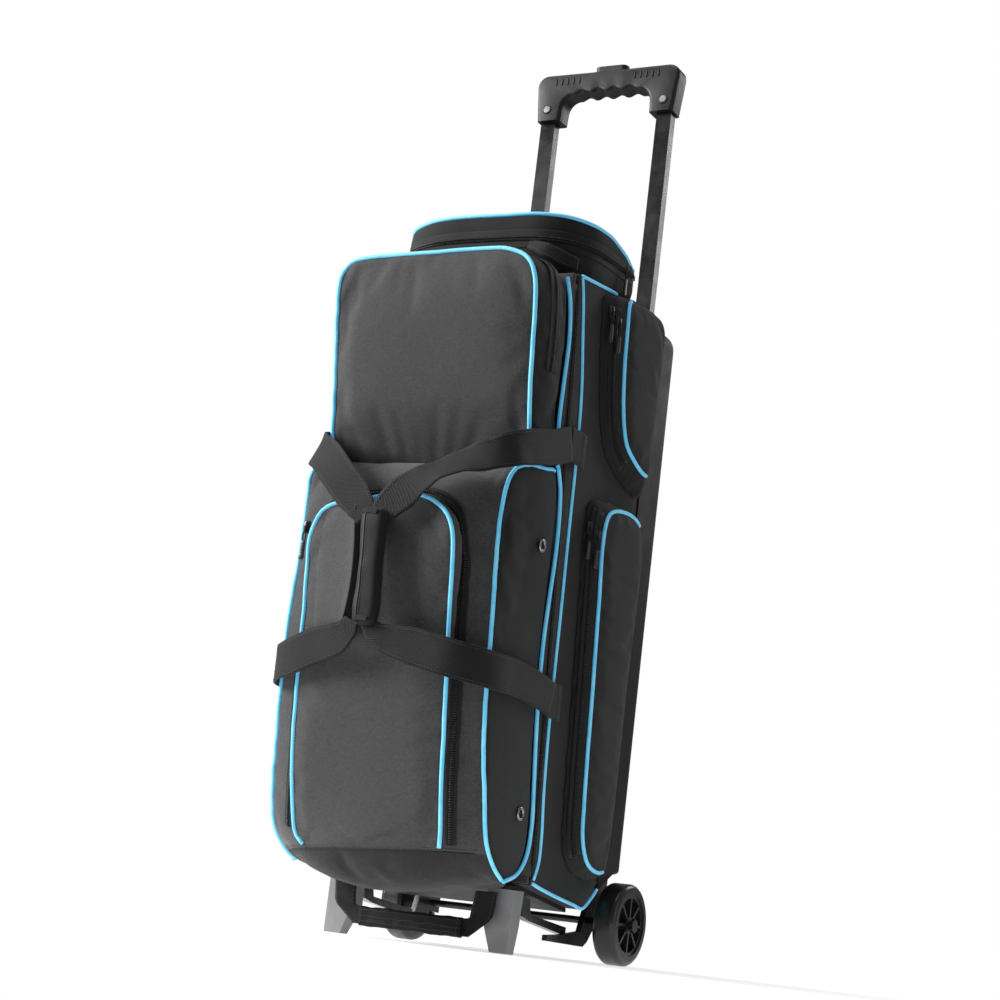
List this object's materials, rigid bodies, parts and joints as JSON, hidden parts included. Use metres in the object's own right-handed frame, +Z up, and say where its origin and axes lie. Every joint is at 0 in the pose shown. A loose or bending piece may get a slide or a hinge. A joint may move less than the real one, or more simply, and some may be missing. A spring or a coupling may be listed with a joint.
{
  "type": "rolling bowling bag",
  "caption": "Upright wheeled bag for bowling balls with a hinged front door, zipped pockets, a top lid, haul straps and a telescopic pull handle.",
  "frame": {"origin": "on the ground, at the centre of the footprint", "axes": "+Z up, -Y the front with the door and pockets, +X to the viewer's right when facing the front"},
  "size_m": [0.3098, 0.457, 1.087],
  "materials": {
    "cloth_side": "charcoal coated polyester weave",
    "cloth_front": "charcoal grey coated polyester weave, front panels",
    "webbing": "black woven webbing",
    "piping": "light blue cord piping",
    "zipper": "black coil zipper and tape",
    "pull": "black moulded zipper pull",
    "shell_plastic": "black moulded shell with a fine grain",
    "handle_tube": "satin black tube",
    "grip_plastic": "black moulded grip",
    "bolt_steel": "bright plated steel",
    "tyre": "glossy black tyre",
    "hub": "black moulded wheel centre",
    "foot_plastic": "grey moulded foot",
    "bracket_steel": "glossy black painted steel",
    "foam": "dark grey foam",
    "grommet_metal": "grey metal vent ring"
  },
  "bodies": {
    "bag": {"axle_bracket_left": "bracket_steel", "axle_bracket_right": "bracket_steel", "axle_nuts": "bolt_steel", "back_shell": "shell_plastic", "ball_cradle": "foam", "ball_shelves": "foam", "base_rails": "bracket_steel", "base_tray": "shell_plastic", "body_piping": "piping", "body_shell": "cloth_side", "body_zipper_tape": "zipper", "front_foot_left": "foot_plastic", "front_foot_right": "foot_plastic", "lower_side_pocket_left": "cloth_side", "lower_side_pocket_right": "cloth_side", "outer_tube_left": "handle_tube", "outer_tube_right": "handle_tube", "side_pocket_piping": "piping", "strap_tabs": "webbing", "top_compartment": "cloth_side", "tube_collars": "shell_plastic", "upper_side_pocket_left": "cloth_side", "upper_side_pocket_right": "cloth_side", "wheel_axle": "bolt_steel", "zipper_sliders": "zipper"},
    "door": {"door_panel": "cloth_side", "door_zipper_tape": "zipper", "lower_pocket": "cloth_front", "arch_flap": "cloth_front", "flap_zipper": "zipper", "upper_pocket": "cloth_front", "door_piping": "piping", "vent_grommets": "grommet_metal", "haul_strap_left": "webbing", "haul_strap_right": "webbing", "grip_wrap": "webbing"},
    "lid": {"top_lid": "cloth_side", "lid_piping": "piping"},
    "handle": {"inner_tube_left": "handle_tube", "inner_tube_right": "handle_tube", "tube_end_stops": "shell_plastic", "grip_housing": "grip_plastic", "grip_bolts": "bolt_steel"},
    "button": {"release_button": "grip_plastic"},
    "wheel_left": {"tyre_left": "tyre", "hub_left": "hub"},
    "wheel_right": {"tyre_right": "tyre", "hub_right": "hub"},
    "carry_handle": {"carry_strap": "webbing", "carry_sleeve": "webbing"},
    "upper_pull_front_left": {"upper_pull_front_left": "pull"},
    "upper_pull_front_right": {"upper_pull_front_right": "pull"},
    "upper_pull_rear_left": {"upper_pull_rear_left": "pull"},
    "upper_pull_rear_right": {"upper_pull_rear_right": "pull"},
    "lower_pull_front_left": {"lower_pull_front_left": "pull"},
    "lower_pull_front_right": {"lower_pull_front_right": "pull"},
    "lower_pull_rear_left": {"lower_pull_rear_left": "pull"},
    "lower_pull_rear_right": {"lower_pull_rear_right": "pull"},
    "lid_pull_right": {"lid_pull_right": "pull"},
    "flap_pull_left": {"flap_pull_left": "pull"}
  },
  "joints": [
    {"name": "door_hinge", "type": "hinge", "parent": "bag", "child": "door", "pos_m": [-0.1275, -0.04935, 0.4], "axis": [0, 0.0771, -0.997], "range_deg": [0, 100]},
    {"name": "lid_hinge", "type": "hinge", "parent": "bag", "child": "lid", "pos_m": [0, 0.074, 0.76], "axis": [-1, 0, 0], "range_deg": [0, 95]},
    {"name": "handle_slide", "type": "slide", "parent": "bag", "child": "handle", "axis": [0, 0, 1], "range_m": [-0.265, 0]},
    {"name": "button_press", "type": "slide", "parent": "handle", "child": "button", "axis": [0, 0, -1], "range_m": [0, 0.004], "stiffness_N_per_m": 600},
    {"name": "wheel_spin_left", "type": "hinge", "parent": "bag", "child": "wheel_left", "pos_m": [-0.136, 0.182, 0.045], "axis": [1, 0, 0], "continuous": true},
    {"name": "wheel_spin_right", "type": "hinge", "parent": "bag", "child": "wheel_right", "pos_m": [0.136, 0.182, 0.045], "axis": [1, 0, 0], "continuous": true},
    {"name": "carry_swing", "type": "hinge", "parent": "bag", "child": "carry_handle", "pos_m": [0, -0.0432, 0.061], "axis": [-1, 0, 0], "range_deg": [-3, 50]},
    {"name": "upper_pull_front_left_hinge", "type": "hinge", "parent": "bag", "child": "upper_pull_front_left", "pos_m": [-0.135, -0.001, 0.7], "axis": [-0.3518, 0.9361, 0], "range_deg": [0, 100]},
    {"name": "upper_pull_front_right_hinge", "type": "hinge", "parent": "bag", "child": "upper_pull_front_right", "pos_m": [0.135, -0.001, 0.7], "axis": [-0.3518, -0.9361, 0], "range_deg": [0, 100]},
    {"name": "upper_pull_rear_left_hinge", "type": "hinge", "parent": "bag", "child": "upper_pull_rear_left", "pos_m": [-0.1392, 0.0114, 0.69], "axis": [-0.3518, 0.9361, 0], "range_deg": [0, 100]},
    {"name": "upper_pull_rear_right_hinge", "type": "hinge", "parent": "bag", "child": "upper_pull_rear_right", "pos_m": [0.1392, 0.0114, 0.69], "axis": [-0.3518, -0.9361, 0], "range_deg": [0, 100]},
    {"name": "lower_pull_front_left_hinge", "type": "hinge", "parent": "bag", "child": "lower_pull_front_left", "pos_m": [-0.1336, 0.006, 0.458], "axis": [-0.5461, 0.8377, 0], "range_deg": [0, 100]},
    {"name": "lower_pull_front_right_hinge", "type": "hinge", "parent": "bag", "child": "lower_pull_front_right", "pos_m": [0.1336, 0.006, 0.458], "axis": [-0.5461, -0.8377, 0], "range_deg": [0, 100]},
    {"name": "lower_pull_rear_left_hinge", "type": "hinge", "parent": "bag", "child": "lower_pull_rear_left", "pos_m": [-0.1396, 0.0152, 0.45], "axis": [-0.5461, 0.8377, 0], "range_deg": [0, 100]},
    {"name": "lower_pull_rear_right_hinge", "type": "hinge", "parent": "bag", "child": "lower_pull_rear_right", "pos_m": [0.1396, 0.0152, 0.45], "axis": [-0.5461, -0.8377, 0], "range_deg": [0, 100]},
    {"name": "lid_pull_right_hinge", "type": "hinge", "parent": "bag", "child": "lid_pull_right", "pos_m": [0.1285, 0.034, 0.765], "axis": [0, -1, 0], "range_deg": [0, 100]},
    {"name": "flap_pull_left_hinge", "type": "hinge", "parent": "door", "child": "flap_pull_left", "pos_m": [-0.097, -0.1945, 0.41], "axis": [-1, 0, 0], "range_deg": [0, 100]}
  ]
}
